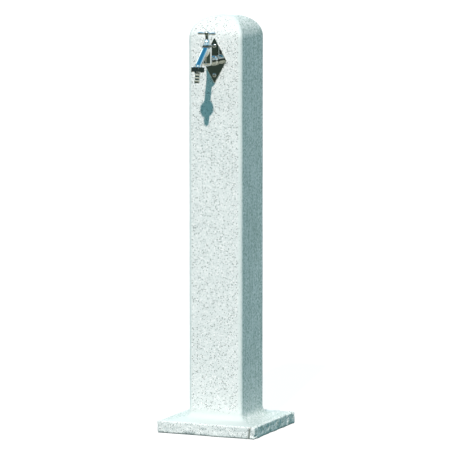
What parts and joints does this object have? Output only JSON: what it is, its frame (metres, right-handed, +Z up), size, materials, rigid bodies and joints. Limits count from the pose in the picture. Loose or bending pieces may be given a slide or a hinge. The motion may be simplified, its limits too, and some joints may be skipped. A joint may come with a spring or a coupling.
{
  "type": "garden water tap column",
  "caption": "Free-standing square water column with a granite-look moulded casing, a mirror plate, a T-handle tap, a hose union and the riser pipe inside.",
  "frame": {"origin": "on the ground under the middle of the square post", "axes": "+Z up along the post, -Y the way the tap points, +X to the right of a person who stands at the spout and looks at the column"},
  "size_m": [0.256, 0.3158, 1],
  "materials": {
    "granite_look_shell": "granite-look moulded polyethylene, fine dark and white speckle",
    "galvanised_steel": "hot-dip galvanised",
    "mirror_stainless": "mirror-polished stainless sheet",
    "stainless_screw": "bright stainless",
    "chromed_brass": "polished chrome on cast brass",
    "raw_brass": "machined brass",
    "black_rubber": "matt moulded rubber",
    "black_polypropylene": "moulded polypropylene"
  },
  "bodies": {
    "root": {"column_casing": "granite_look_shell", "ground_plate": "galvanised_steel", "lock_screws": "stainless_screw", "lock_nuts": "galvanised_steel", "mirror_plate": "mirror_stainless", "mirror_screws": "stainless_screw", "mirror_nuts": "stainless_screw", "stiffener_plate": "galvanised_steel", "wall_elbow": "raw_brass", "elbow_screws": "stainless_screw", "riser_pipe": "galvanised_steel", "supply_adapter": "raw_brass", "pipe_clip": "black_polypropylene", "pipe_clip_screw": "stainless_screw", "pipe_clip_insert": "raw_brass", "inlet_washer": "black_rubber", "tap_body": "chromed_brass", "bonnet_gasket": "black_rubber", "bonnet": "chromed_brass", "spindle_packing": "black_rubber", "gland_nut": "chromed_brass"},
    "valve": {"jumper": "raw_brass", "seat_washer": "black_rubber", "washer_nut": "raw_brass"},
    "tap_spindle": {"spindle": "chromed_brass", "handle": "chromed_brass", "handle_screw": "stainless_screw"},
    "hose_end": {"hose_tail": "chromed_brass", "hose_washer": "black_rubber"},
    "union": {"union_nut": "chromed_brass"}
  },
  "joints": [
    {"name": "valve_lift", "type": "slide", "parent": "root", "child": "valve", "axis": [0, 0, 1], "range_m": [0, 0.006]},
    {"name": "handle_turn", "type": "hinge", "parent": "valve", "child": "tap_spindle", "pos_m": [0, -0.115, 0.92], "axis": [0, 0, 1], "range_deg": [0, 1080]},
    {"name": "hose_end_slide", "type": "slide", "parent": "root", "child": "hose_end", "axis": [0, -0.1513, -0.9885], "range_m": [0, 0.0065]},
    {"name": "union_nut_turn", "type": "hinge", "parent": "hose_end", "child": "union", "pos_m": [0, -0.1675, 0.889], "axis": [0, -0.1513, -0.9885], "range_deg": [0, 1284]}
  ],
  "couplings": [
    {"joint": "valve_lift", "follows": "handle_turn", "m_per_rad": 0.00031831},
    {"joint": "hose_end_slide", "follows": "union_nut_turn", "m_per_rad": 0.00028871}
  ]
}
